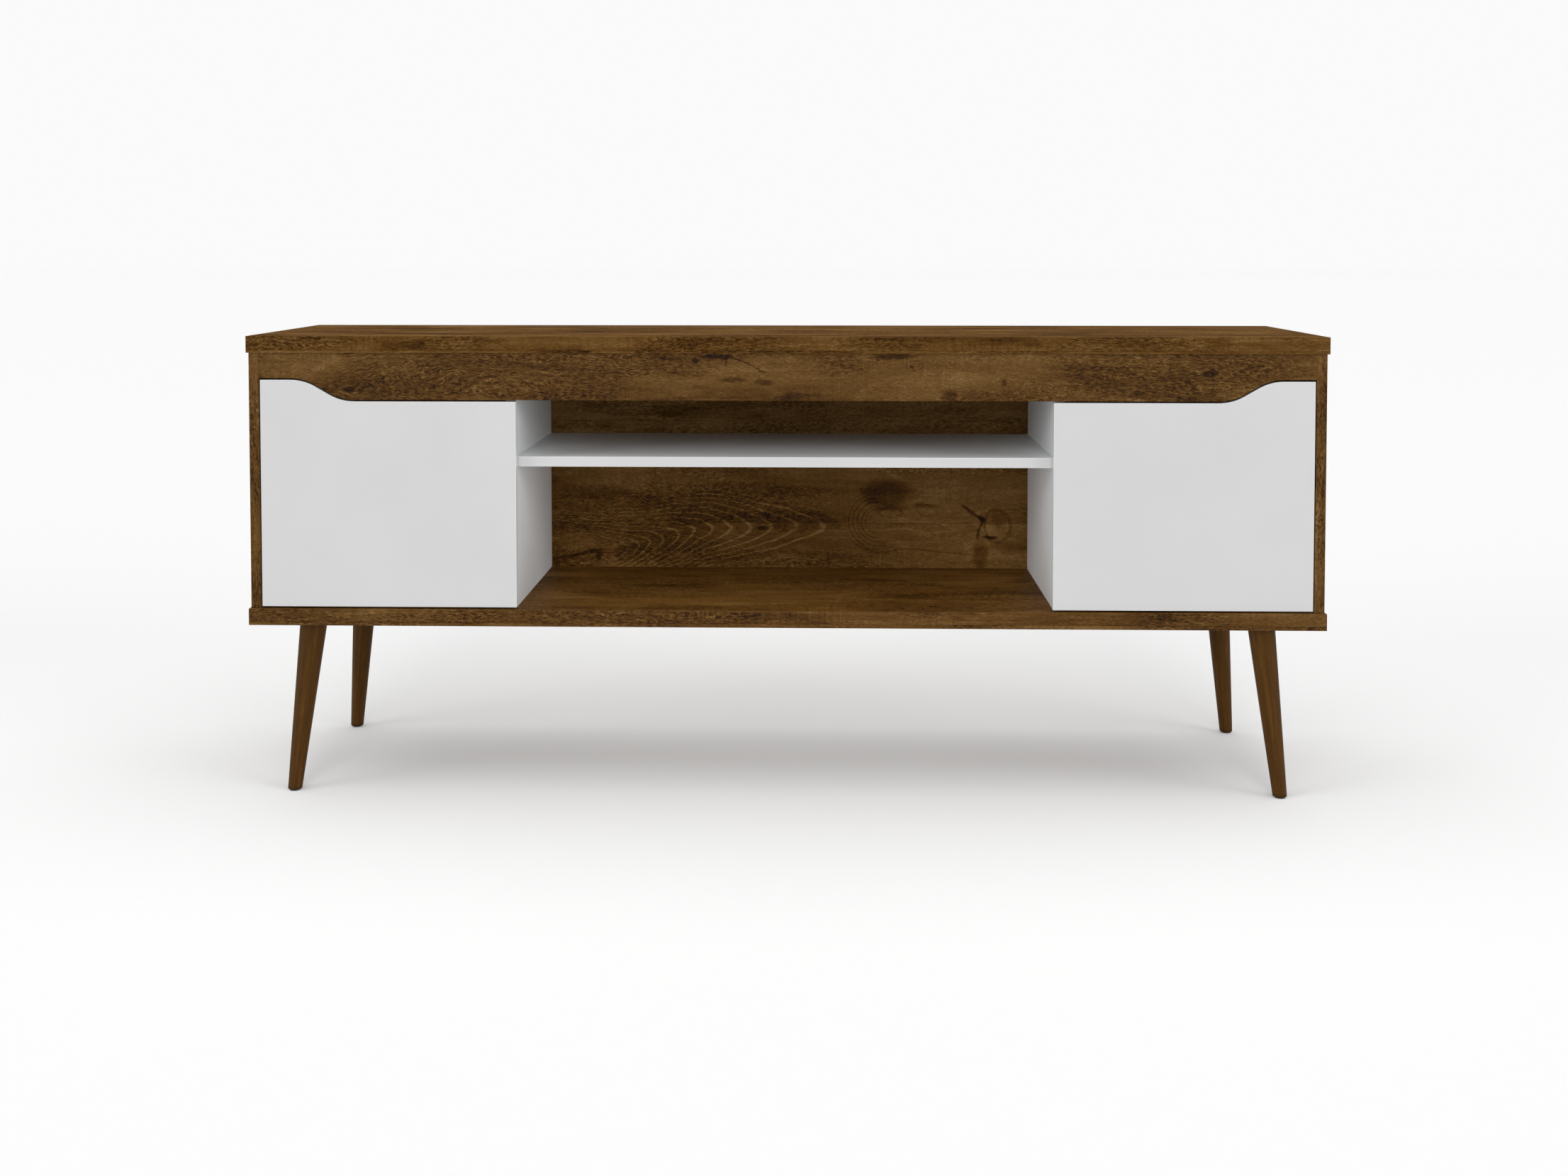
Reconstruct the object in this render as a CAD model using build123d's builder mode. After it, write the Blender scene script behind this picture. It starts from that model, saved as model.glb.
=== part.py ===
"""Two-door console cabinet for a television, on four splayed legs.

Millimetres, +Z up. The origin is on the floor under the middle of the cabinet:
+X runs along its length to the right, and the front faces -Y.
"""
from build123d import *
import os
from math import cos, radians, sin

# ---- driving dimensions -------------------------------------------------------------
width = 1600
depth = 360
height = 685
slab = 25                    # top and bottom panels
board = 15                   # side panels, dividers, shelf, apron and doors
leg_height = 252             # floor to the underside of the bottom panel
overhang = 3                 # the slabs stand out past the sides and the front

bay_half = 400.8             # centre of the cabinet to a divider's inner face
shelf_top = 504
divider_setback = 2          # divider edge behind the back face of a closed door

back_board = 3
back_inset = 15              # back panel's rear face to the rear edge of the slabs
groove_depth = 7
groove_play = 0.2

apron_height = 70            # over the centre bay
apron_end_height = 38        # over the outer end of each door
door_gap = 2.5               # between a door's top edge and the apron
door_side_gap = 1.8
door_floor_gap = 3
door_inner_edge = 398.3
wave_outer = 735             # where the wave starts, from the centre of the cabinet
wave_radius = 74
wave_angle = 30
edge_softening = 0.6

leg_top_inset = (86.9, 36.9)     # leg axis at the slab, from the slab's side and front
leg_foot_inset = (62.6, 12.3)    # leg axis at the floor
leg_top_radius = 20
leg_foot_radius = 10.25
leg_plate_size = 50
leg_plate = 2.5
glide_radius = 8
glide_height = 2

hinge_heights = (340, 560)
pivot_inset = 21.8           # pivot from the side panel's inner face
pivot_depth = 7              # pivot behind the door's front face
cup_radius = 17.5
cup_depth = 11.9
cup_inset = 23.5             # cup's centre from the side panel's inner face
cup_wall = 0.7
pin_radius = 1.5
running_clearance = 0.05

dowel_radius = 4
dowel_length = 30
dowel_in_slab = 10
hole_play = 0.05
cam_radius = 7.5
cam_depth = 12
cam_from_edge = 24
cam_bolt_radius = 3
cam_bolt_in_slab = 11
bolt_hole_radius = 4         # around a cam bolt, in the edge of an upright or the apron

small_screw_radius = 1.7     # cup screws and back screws
small_head_radius = 3.4
small_head_height = 1.6
recess_reach = 0.62          # crosshead recess, as shares of the head's radius and height
recess_half_width = 0.12
recess_share = 0.45

# ---- derived levels and faces -------------------------------------------------------
front = -depth / 2
rear = depth / 2
bottom_top = leg_height + slab           # upper face of the bottom panel
ceiling = height - slab                  # lower face of the top panel
face_y = front + overhang                # front of the sides, apron and doors
door_back_y = face_y + board
divider_front_y = door_back_y + divider_setback
back_front_y = rear - back_inset - back_board
back_rear_y = rear - back_inset
side_outer = width / 2 - overhang
side_inner = side_outer - board
divider_outer = bay_half + board
divider_middle = bay_half + board / 2
side_middle = side_inner + board / 2
apron_bottom = ceiling - apron_height
apron_end_bottom = ceiling - apron_end_height
door_bottom = bottom_top + door_floor_gap
door_outer_edge = side_inner - door_side_gap
pivot_x = side_inner - pivot_inset
pivot_y = face_y + pivot_depth
cup_x = side_inner - cup_inset
front_row, rear_row = -110, 110          # cam fittings along the depth
front_dowel, rear_dowel = -60, 60
apron_mid_y = face_y + board / 2
apron_cam_xs = (-600, -210, 210, 600)
apron_dowel_xs = (-405, 0, 405)
apron_end_dowel_z = ceiling - apron_end_height / 2

os.makedirs("parts", exist_ok=True)


def finish(builder, label):
    """Name a piece and write it as its own file."""
    builder.part.label = label
    export_step(builder.part, f"parts/{label}.step")


def block(x_range, y_range, z_range, mode=Mode.ADD):
    """A box between two values on each axis, in the part being built."""
    spans = (x_range, y_range, z_range)
    middle = Vector(*[(low + high) / 2 for low, high in spans])
    with Locations(middle):
        Box(*[high - low for low, high in spans], mode=mode)


def rod(start, end, radius, mode=Mode.ADD):
    """A round bar or a drilled hole from one point to another."""
    along = Vector(*end) - Vector(*start)
    with Locations(Plane(origin=start, z_dir=along).location):
        Cylinder(radius, along.length, align=(Align.CENTER, Align.CENTER, Align.MIN), mode=mode)


def cross_recess(face, inward, reach, half_width, recess_depth):
    """Cut the crosshead recess of a screw, centred on the face of its head."""
    with Locations(Plane(origin=face, z_dir=inward).location):
        for size in ((2 * reach, 2 * half_width), (2 * half_width, 2 * reach)):
            Box(*size, recess_depth, align=(Align.CENTER, Align.CENTER, Align.MIN),
                mode=Mode.SUBTRACT)


def pan_screw(tip, seat, radius, head_radius, head_height):
    """A crosshead screw from its tip to the face that its head rests on."""
    outward = (Vector(*seat) - Vector(*tip)).normalized()
    crown = Vector(*seat) + outward * head_height
    rod(tip, seat, radius)
    rod(seat, crown, head_radius)
    cross_recess(crown, -outward, head_radius * recess_reach, head_radius * recess_half_width,
                 head_height * recess_share)


def soften(builder, *directions):
    """Ease the board's edges that run along the given axes."""
    edges = ShapeList()
    for direction in directions:
        edges += builder.edges().filter_by(direction)
    fillet(edges, edge_softening)


# ---- where the joining hardware goes ------------------------------------------------
# Each upright stands between the slabs, and every joint has two cams and two dowels.
uprights = (
    (-side_middle, 1),
    (-divider_middle, -1),
    (divider_middle, 1),
    (side_middle, -1),
)                                        # (middle of the board, side that its cams face)
slab_faces = ((bottom_top, 1), (ceiling, -1))      # (slab's inner face, way into the bay)


def upright_dowel_ends(x):
    """Both ends of each dowel that joins one upright to the slabs."""
    ends = []
    for face, way in slab_faces:
        for y in (front_dowel, rear_dowel):
            low = (x, y, face - way * dowel_in_slab)
            high = (x, y, face + way * (dowel_length - dowel_in_slab))
            ends.append((low, high))
    return ends


def upright_bolt_ends(x):
    """Both ends of each cam bolt that joins one upright to the slabs."""
    ends = []
    for face, way in slab_faces:
        for y in (front_row, rear_row):
            in_slab = (x, y, face - way * cam_bolt_in_slab)
            in_cam = (x, y, face + way * (cam_from_edge + cam_bolt_radius))
            ends.append((in_slab, in_cam))
    return ends


def upright_cam_ends(x, side):
    """Closed end and open end of each cam lock in one upright."""
    ends = []
    for face, way in slab_faces:
        for y in (front_row, rear_row):
            z = face + way * cam_from_edge
            mouth = (x + side * board / 2, y, z)
            closed = (mouth[0] - side * cam_depth, y, z)
            ends.append((closed, mouth))
    return ends


apron_bolt_ends = [
    ((x, apron_mid_y, ceiling + cam_bolt_in_slab),
     (x, apron_mid_y, ceiling - cam_from_edge - cam_bolt_radius))
    for x in apron_cam_xs
]
apron_cam_ends = [
    ((x, door_back_y - cam_depth, ceiling - cam_from_edge),
     (x, door_back_y, ceiling - cam_from_edge))
    for x in apron_cam_xs
]
apron_dowel_ends = [
    ((x, apron_mid_y, ceiling + dowel_in_slab),
     (x, apron_mid_y, ceiling - dowel_length + dowel_in_slab))
    for x in apron_dowel_xs
]
apron_end_dowel_ends = [
    ((sign * (side_inner + dowel_in_slab), apron_mid_y, apron_end_dowel_z),
     (sign * (side_inner - dowel_length + dowel_in_slab), apron_mid_y, apron_end_dowel_z))
    for sign in (-1, 1)
]
all_bolt_ends = apron_bolt_ends + [e for x, side in uprights for e in upright_bolt_ends(x)]
slab_dowel_ends = apron_dowel_ends + [e for x, side in uprights for e in upright_dowel_ends(x)]


def drill_dowels(ends):
    """Cut the holes that a set of dowels sits in."""
    for start, end in ends:
        rod(start, end, dowel_radius + hole_play, Mode.SUBTRACT)


def drill_bolts(ends, radius):
    """Cut the holes that a set of cam bolts sits in."""
    for start, end in ends:
        rod(start, end, radius, Mode.SUBTRACT)


# ---- legs and their fittings --------------------------------------------------------
leg_corners = {
    "front_left_leg": (-1, -1),
    "front_right_leg": (1, -1),
    "rear_left_leg": (-1, 1),
    "rear_right_leg": (1, 1),
}
leg_top_z = leg_height - leg_plate
leg_plate_corner = 8
screw_offset = leg_plate_size / 2 - 7
plate_screw_length = 18
plate_screw_radius = 1.9
plate_screw_head = (3.8, 2)      # the countersunk head's radius, and its height
hub_radius = 5.5
hub_length = 9
bolt_radius = 4
bolt_in_leg = 32
bolt_hole = bolt_radius + hole_play
foot_softening = 1.5
glide_softening = 0.8
glide_pin_radius = 1.25
glide_pin_length = 12


def corner_point(corner, inset, z):
    """A point inset from one corner of the slabs, at a height."""
    x = corner[0] * (width / 2 - inset[0])
    y = corner[1] * (depth / 2 - inset[1])
    return Vector(x, y, z)


def leg_axis_point(corner, z):
    """Where the slanting middle line of a leg is, at a height."""
    foot = corner_point(corner, leg_foot_inset, 0)
    top = corner_point(corner, leg_top_inset, leg_height)
    return foot + (top - foot) * (z / leg_height)


def plate_screw_points(corner):
    """The four screws that hold one leg plate, at the slab's lower face."""
    middle = leg_axis_point(corner, leg_top_z)
    return [
        (middle.X + sx * screw_offset, middle.Y + sy * screw_offset, leg_height)
        for sx in (-1, 1)
        for sy in (-1, 1)
    ]


for leg_name, corner in leg_corners.items():
    foot_middle = leg_axis_point(corner, -leg_top_radius)
    top_middle = leg_axis_point(corner, leg_height + leg_top_radius)
    taper = (leg_top_radius - leg_foot_radius) / leg_height
    slope = top_middle - foot_middle
    bolt_point = leg_axis_point(corner, leg_top_z)
    foot_point = leg_axis_point(corner, glide_height)
    with BuildPart() as leg:
        with BuildSketch(Plane(origin=foot_middle, z_dir=slope)):
            Circle(leg_foot_radius - taper * leg_top_radius)
        with BuildSketch(Plane(origin=top_middle, z_dir=slope)):
            Circle(leg_top_radius * (1 + taper))
        loft()
        split(bisect_by=Plane.XY.offset(glide_height), keep=Keep.TOP)
        split(bisect_by=Plane.XY.offset(leg_top_z), keep=Keep.BOTTOM)
        fillet(leg.edges().group_by(Axis.Z)[0], foot_softening)
        rod(bolt_point, bolt_point - Vector(0, 0, bolt_in_leg + 1), bolt_hole, Mode.SUBTRACT)
        rod(foot_point, foot_point + Vector(0, 0, glide_pin_length + 1),
            glide_pin_radius + hole_play, Mode.SUBTRACT)
    finish(leg, leg_name)

with BuildPart() as leg_plates:
    for corner in leg_corners.values():
        middle = leg_axis_point(corner, leg_top_z)
        with BuildSketch(Plane(origin=middle)):
            RectangleRounded(leg_plate_size, leg_plate_size, leg_plate_corner)
        extrude(amount=leg_plate)
        hub_end = middle + Vector(0, 0, leg_plate + hub_length)
        rod(middle, hub_end, hub_radius)
        rod(middle, hub_end, bolt_hole, Mode.SUBTRACT)
        for x, y, z in plate_screw_points(corner):
            with Locations(Location((x, y, leg_top_z), (180, 0, 0))):
                CounterSinkHole(radius=plate_screw_radius + 0.2,
                                counter_sink_radius=plate_screw_head[0] + 0.2, depth=leg_plate)
finish(leg_plates, "leg_plates")

with BuildPart() as leg_plate_screws:
    for corner in leg_corners.values():
        for x, y, z in plate_screw_points(corner):
            head_radius, head_height = plate_screw_head
            head = (x, y, leg_top_z)
            with Locations(head):
                Cone(head_radius, plate_screw_radius, head_height,
                     align=(Align.CENTER, Align.CENTER, Align.MIN))
            rod((x, y, leg_top_z + head_height / 2), (x, y, leg_top_z + plate_screw_length),
                plate_screw_radius)
            cross_recess(head, (0, 0, 1), head_radius * recess_reach,
                         head_radius * recess_half_width, head_height * recess_share)
finish(leg_plate_screws, "leg_plate_screws")

with BuildPart() as leg_bolts:
    for corner in leg_corners.values():
        middle = leg_axis_point(corner, leg_top_z)
        bolt_top = middle + Vector(0, 0, leg_plate + hub_length - 1)
        rod(middle - Vector(0, 0, bolt_in_leg), bolt_top, bolt_radius)
finish(leg_bolts, "leg_bolts")

with BuildPart() as leg_glides:
    for corner in leg_corners.values():
        foot_point = leg_axis_point(corner, glide_height)
        rod(foot_point, foot_point - Vector(0, 0, glide_height), glide_radius)
        rod(foot_point, foot_point + Vector(0, 0, glide_pin_length), glide_pin_radius)
    fillet(leg_glides.edges().group_by(Axis.Z)[0], glide_softening)
finish(leg_glides, "leg_glides")

# ---- top and bottom panels ----------------------------------------------------------
groove_y = (back_front_y - groove_play, back_rear_y + groove_play)
groove_x = (-side_inner - groove_depth, side_inner + groove_depth)

with BuildPart() as top_panel:
    block((-width / 2, width / 2), (front, rear), (ceiling, height))
    soften(top_panel, Axis.X, Axis.Y)
    block(groove_x, groove_y, (ceiling, ceiling + groove_depth), Mode.SUBTRACT)
    drill_dowels([ends for ends in slab_dowel_ends if ends[0][2] > ceiling])
    drill_bolts([ends for ends in all_bolt_ends if ends[0][2] > ceiling], cam_bolt_radius)
finish(top_panel, "top_panel")

with BuildPart() as bottom_panel:
    block((-width / 2, width / 2), (front, rear), (leg_height, bottom_top))
    soften(bottom_panel, Axis.X, Axis.Y)
    block(groove_x, groove_y, (bottom_top - groove_depth, bottom_top), Mode.SUBTRACT)
    drill_dowels([ends for ends in slab_dowel_ends if ends[0][2] < bottom_top])
    drill_bolts([ends for ends in all_bolt_ends if ends[0][2] < bottom_top], cam_bolt_radius)
    for corner in leg_corners.values():
        middle = leg_axis_point(corner, leg_top_z)
        rod((middle.X, middle.Y, leg_height), (middle.X, middle.Y, leg_height + hub_length + 1),
            hub_radius + hole_play, Mode.SUBTRACT)
        for x, y, z in plate_screw_points(corner):
            rod((x, y, z), (x, y, z + plate_screw_length), plate_screw_radius + hole_play,
                Mode.SUBTRACT)
finish(bottom_panel, "bottom_panel")

# ---- hinge plate screws, shared by the side panels and the plates -------------------
hinge_screw_y = face_y + 54
hinge_screw_spread = 16
hinge_screw_hole = 12            # how deep a screw's hole is in the side panel
hinge_screw_radius = 2
hinge_screw_head = (3.8, 1.6)    # the head's radius and height


def hinge_plate_screw_points(sign):
    """The screws of one side's hinge plates, at the side panel's inner face."""
    return [
        (sign * side_inner, hinge_screw_y, z + spread)
        for z in hinge_heights
        for spread in (-hinge_screw_spread, hinge_screw_spread)
    ]


# ---- screws that hold the back panels to the dividers and the shelf -----------------
shelf_mid = shelf_top - board / 2
back_screw_length = 16
back_screw_zs = (310, 400, 537, 627)
seam_screw_offset = 3.7          # screws stand this far each side of a seam
shelf_back_screws = [(x, shelf_mid) for x in (-250, 0, 250)]


def divider_back_screws(sign):
    """Where the back's screws enter one divider, in X and Z."""
    return [
        (sign * (divider_middle + way * seam_screw_offset), z)
        for way in (-1, 1)
        for z in back_screw_zs
    ]


def drill_back_screws(points):
    """Cut the holes of the back's screws, through the board behind them too."""
    for x, z in points:
        rod((x, back_rear_y, z), (x, back_rear_y - back_screw_length - 1, z),
            small_screw_radius + hole_play, Mode.SUBTRACT)


# ---- side panels and dividers -------------------------------------------------------
for panel_name, sign in (("left_side_panel", -1), ("right_side_panel", 1)):
    x = sign * side_middle
    with BuildPart() as side_panel:
        block((x - board / 2, x + board / 2), (face_y, rear), (bottom_top, ceiling))
        soften(side_panel, Axis.Z)
        groove = sorted((sign * side_inner, sign * (side_inner + groove_depth)))
        block(groove, groove_y, (bottom_top, ceiling), Mode.SUBTRACT)
        drill_dowels(upright_dowel_ends(x))
        drill_dowels([ends for ends in apron_end_dowel_ends if ends[0][0] * sign > 0])
        drill_bolts(upright_bolt_ends(x), bolt_hole_radius)
        for closed, mouth in upright_cam_ends(x, -sign):
            rod(closed, mouth, cam_radius + hole_play, Mode.SUBTRACT)
        for point in hinge_plate_screw_points(sign):
            deep = (point[0] + sign * hinge_screw_hole, point[1], point[2])
            rod(point, deep, hinge_screw_radius + hole_play, Mode.SUBTRACT)
    finish(side_panel, panel_name)

shelf_z = (shelf_top - board, shelf_top)
shelf_screw_ys = (-120, 0, 120)
shelf_dowel_ys = (-60, 60)
shelf_screw_length = 45
shelf_screw_radius = 2.5
shelf_screw_head = 5
shelf_head_depth = 4
shelf_head_sunk = 0.2
shelf_socket_radius = 2
shelf_socket_depth = 2.8


def shelf_dowel_ends(sign):
    """Dowels between one divider and the shelf's end."""
    return [
        ((sign * (bay_half + dowel_in_slab), y, shelf_mid),
         (sign * (bay_half + dowel_in_slab - dowel_length), y, shelf_mid))
        for y in shelf_dowel_ys
    ]


for panel_name, sign in (("left_divider", -1), ("right_divider", 1)):
    x = sign * divider_middle
    with BuildPart() as divider:
        block((x - board / 2, x + board / 2), (divider_front_y, back_front_y - groove_play),
              (bottom_top, ceiling))
        soften(divider, Axis.Z)
        drill_dowels(upright_dowel_ends(x))
        drill_dowels(shelf_dowel_ends(sign))
        drill_bolts(upright_bolt_ends(x), bolt_hole_radius)
        for closed, mouth in upright_cam_ends(x, sign):
            rod(closed, mouth, cam_radius + hole_play, Mode.SUBTRACT)
        for y in shelf_screw_ys:
            outer = (sign * divider_outer, y, shelf_mid)
            rod(outer, (sign * bay_half, y, shelf_mid), shelf_screw_radius + hole_play, Mode.SUBTRACT)
            rod(outer, (sign * (divider_outer - shelf_head_depth), y, shelf_mid),
                shelf_screw_head + hole_play, Mode.SUBTRACT)
        drill_back_screws(divider_back_screws(sign))
    finish(divider, panel_name)

with BuildPart() as media_shelf:
    block((-bay_half, bay_half), (divider_front_y, back_front_y - groove_play), shelf_z)
    soften(media_shelf, Axis.X)
    for sign in (-1, 1):
        drill_dowels(shelf_dowel_ends(sign))
        for y in shelf_screw_ys:
            rod((sign * bay_half, y, shelf_mid),
                (sign * (divider_outer - shelf_screw_length - 1), y, shelf_mid),
                shelf_screw_radius + hole_play, Mode.SUBTRACT)
    drill_back_screws(shelf_back_screws)
finish(media_shelf, "media_shelf")

# ---- wave-edged apron and doors -----------------------------------------------------
wave_drop = apron_height - apron_end_height
wave_arcs_drop = 2 * wave_radius * (1 - cos(radians(wave_angle)))
wave_line = (wave_drop - wave_arcs_drop) / sin(radians(wave_angle))     # straight middle
door_outer_top = apron_end_bottom - door_gap
door_inner_top = apron_bottom - door_gap


def wave(start, way, crest_radius, trough_radius):
    """Draw the falling S of two arcs and a line, towards the centre of the cabinet."""
    tangent = (way, 0)
    crest = JernArc(start=start, tangent=tangent, radius=crest_radius, arc_size=-way * wave_angle)
    slope_end = (crest @ 1) + (crest % 1) * wave_line
    Line(crest @ 1, slope_end)
    trough = JernArc(start=slope_end, tangent=crest % 1, radius=trough_radius, arc_size=way * wave_angle)
    return trough @ 1


with BuildPart() as front_apron:
    with BuildSketch(Plane.XZ.offset(-face_y)):
        with BuildLine():
            left_end = wave((-wave_outer, apron_end_bottom), 1,
                            wave_radius + door_gap, wave_radius - door_gap)
            right_end = wave((wave_outer, apron_end_bottom), -1,
                             wave_radius + door_gap, wave_radius - door_gap)
            Line(left_end, right_end)
            Polyline((-wave_outer, apron_end_bottom), (-side_inner, apron_end_bottom),
                     (-side_inner, ceiling), (side_inner, ceiling),
                     (side_inner, apron_end_bottom), (wave_outer, apron_end_bottom))
        make_face()
    extrude(amount=-board)
    drill_dowels(apron_dowel_ends)
    drill_dowels(apron_end_dowel_ends)
    drill_bolts(apron_bolt_ends, bolt_hole_radius)
    for closed, mouth in apron_cam_ends:
        rod(closed, mouth, cam_radius + hole_play, Mode.SUBTRACT)
finish(front_apron, "front_apron")

cup_screw_spread = 24
cup_screw_x = cup_x - 7
cup_screw_length = 11
cup_play = 0.1
cup_floor_play = 0.2

with BuildPart() as left_door:
    with BuildSketch(Plane.XZ.offset(-face_y)):
        with BuildLine():
            trough_end = wave((-wave_outer, door_outer_top), 1, wave_radius, wave_radius)
            Polyline(trough_end, (-door_inner_edge, door_inner_top), (-door_inner_edge, door_bottom),
                     (-door_outer_edge, door_bottom), (-door_outer_edge, door_outer_top),
                     (-wave_outer, door_outer_top))
        make_face()
    extrude(amount=-board)
    fillet(left_door.faces().sort_by(Axis.Y)[0].edges(), edge_softening)
    for z in hinge_heights:
        rod((-cup_x, door_back_y, z), (-cup_x, door_back_y - cup_depth - cup_floor_play, z),
            cup_radius + cup_play, Mode.SUBTRACT)
        for spread in (-cup_screw_spread, cup_screw_spread):
            rod((-cup_screw_x, door_back_y, z + spread),
                (-cup_screw_x, door_back_y - cup_screw_length, z + spread),
                small_screw_radius + hole_play, Mode.SUBTRACT)
finish(left_door, "left_door")

with BuildPart() as right_door:
    mirror(left_door.part, about=Plane.YZ)
finish(right_door, "right_door")

# ---- hinges: a cup and pin on the door, a cranked arm and a plate on the side -------
flange = 1
flange_rim = 2                   # the flange stands out this far around the cup
flange_width = 13
ear_half_width = 3
cup_inner_radius = cup_radius - cup_wall
cup_floor_y = door_back_y - cup_depth + cup_wall
ear_span = (7.2, 10.4)           # the two ears that hold the pin, from the hinge's middle
arm_half_width = 6.5
arm_thickness = 2.5
eye_radius = 2.8
crank_reach = 13.25              # pivot to the middle of the arm's outward leg
crank_back_y = face_y + 30.75    # middle of the arm's crosswise leg
arm_rise = 9.95                  # middle of the arm's long leg, off the side panel
arm_end_y = face_y + 92
plate_rise = 8.6
arm_screw_ys = (face_y + 66, face_y + 82)
arm_screw_radius = 2.5
arm_screw_play = 0.1
arm_screw_head = (4.2, 1.8)      # the head's radius and height
plate_foot = 2                   # the plate's flange against the side panel
plate_half_width = 7
plate_foot_length = 46

with BuildPart() as left_hinge_cups:
    for z in hinge_heights:
        rod((-cup_x, door_back_y, z), (-cup_x, door_back_y - cup_depth, z), cup_radius)
        with BuildSketch(Plane.XZ.offset(-door_back_y)):
            with Locations((-cup_x, z)):
                Circle(cup_radius + flange_rim)
            with Locations((-cup_screw_x, z)):
                SlotCenterToCenter(2 * cup_screw_spread, flange_width, rotation=90)
        extrude(amount=-flange)
        rod((-cup_x, door_back_y + flange, z), (-cup_x, cup_floor_y, z), cup_inner_radius, Mode.SUBTRACT)
        for way in (-1, 1):
            ear = sorted((z + way * ear_span[0], z + way * ear_span[1]))
            block((-pivot_x - ear_half_width, -pivot_x + ear_half_width),
                  (cup_floor_y, pivot_y + ear_half_width), ear)
            hole_z = z + way * cup_screw_spread
            rod((-cup_screw_x, door_back_y, hole_z), (-cup_screw_x, door_back_y + flange, hole_z),
                small_screw_radius + hole_play, Mode.SUBTRACT)
        rod((-pivot_x, pivot_y, z - ear_span[1]), (-pivot_x, pivot_y, z + ear_span[1]),
            pin_radius, Mode.SUBTRACT)
finish(left_hinge_cups, "left_hinge_cups")

with BuildPart() as left_hinge_pins:
    for z in hinge_heights:
        rod((-pivot_x, pivot_y, z - ear_span[1]), (-pivot_x, pivot_y, z + ear_span[1]), pin_radius)
finish(left_hinge_pins, "left_hinge_pins")

with BuildPart() as left_cup_screws:
    for z in hinge_heights:
        for spread in (-cup_screw_spread, cup_screw_spread):
            seat_y = door_back_y + flange
            pan_screw((-cup_screw_x, seat_y - cup_screw_length, z + spread),
                      (-cup_screw_x, seat_y, z + spread),
                      small_screw_radius, small_head_radius, small_head_height)
finish(left_cup_screws, "left_cup_screws")

crank_x = -pivot_x + crank_reach
arm_x = -side_inner + arm_rise
half = arm_thickness / 2

with BuildPart() as left_hinge_arms:
    for z in hinge_heights:
        with BuildSketch(Plane.XY.offset(z - arm_half_width)):
            with BuildLine():
                Polyline(
                    (-pivot_x, pivot_y - half),
                    (crank_x + half, pivot_y - half),
                    (crank_x + half, crank_back_y + half),
                    (arm_x + half, crank_back_y + half),
                    (arm_x + half, arm_end_y),
                    (arm_x - half, arm_end_y),
                    (arm_x - half, crank_back_y - half),
                    (crank_x - half, crank_back_y - half),
                    (crank_x - half, pivot_y + half),
                    (-pivot_x, pivot_y + half),
                    close=True,
                )
            make_face()
            with Locations((-pivot_x, pivot_y)):
                Circle(eye_radius)
                Circle(pin_radius + running_clearance, mode=Mode.SUBTRACT)
        extrude(amount=2 * arm_half_width)
        for y in arm_screw_ys:
            rod((arm_x - half, y, z), (arm_x + half, y, z), arm_screw_radius + arm_screw_play,
                Mode.SUBTRACT)
finish(left_hinge_arms, "left_hinge_arms")

plate_block_y = (face_y + 45, face_y + 88)

with BuildPart() as left_hinge_plates:
    for z in hinge_heights:
        block((-side_inner, -side_inner + plate_rise), plate_block_y,
              (z - plate_half_width, z + plate_half_width))
        with BuildSketch(Plane.YZ.offset(-side_inner)):
            with Locations((hinge_screw_y, z)):
                SlotOverall(plate_foot_length, 2 * plate_half_width, rotation=90)
        extrude(amount=plate_foot)
        for y in arm_screw_ys:
            rod((-side_inner + plate_foot, y, z), (-side_inner + plate_rise, y, z),
                arm_screw_radius + arm_screw_play, Mode.SUBTRACT)
    for x, y, z in hinge_plate_screw_points(-1):
        rod((x, y, z), (x + plate_foot, y, z), hinge_screw_radius + hole_play, Mode.SUBTRACT)
finish(left_hinge_plates, "left_hinge_plates")

with BuildPart() as left_hinge_screws:
    for x, y, z in hinge_plate_screw_points(-1):
        pan_screw((x - hinge_screw_hole + 1, y, z), (x + plate_foot, y, z),
                  hinge_screw_radius, *hinge_screw_head)
finish(left_hinge_screws, "left_hinge_screws")

with BuildPart() as left_arm_screws:
    for z in hinge_heights:
        for y in arm_screw_ys:
            pan_screw((-side_inner + plate_foot + 0.5, y, z), (arm_x + half, y, z),
                      arm_screw_radius, *arm_screw_head)
finish(left_arm_screws, "left_arm_screws")

# The right door hangs on the same hardware, mirrored.
mirrored_pieces = {
    "right_hinge_cups": left_hinge_cups,
    "right_hinge_pins": left_hinge_pins,
    "right_cup_screws": left_cup_screws,
    "right_hinge_arms": left_hinge_arms,
    "right_hinge_plates": left_hinge_plates,
    "right_hinge_screws": left_hinge_screws,
    "right_arm_screws": left_arm_screws,
}
for piece_name, left_piece in mirrored_pieces.items():
    with BuildPart() as right_piece:
        mirror(left_piece.part, about=Plane.YZ)
    finish(right_piece, piece_name)

# ---- soft stops that the closed doors rest against ----------------------------------
bumper_radius = 4
bumper_thickness = 1.6
bumper_softening = 0.6
bumper_from_edge = 30

with BuildPart() as door_bumpers:
    for sign in (-1, 1):
        for z in (door_bottom + bumper_from_edge, door_inner_top - bumper_from_edge):
            rod((sign * divider_middle, divider_front_y, z),
                (sign * divider_middle, divider_front_y - bumper_thickness, z), bumper_radius)
    fillet(door_bumpers.edges().group_by(Axis.Y)[0], bumper_softening)
finish(door_bumpers, "door_bumpers")

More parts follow.
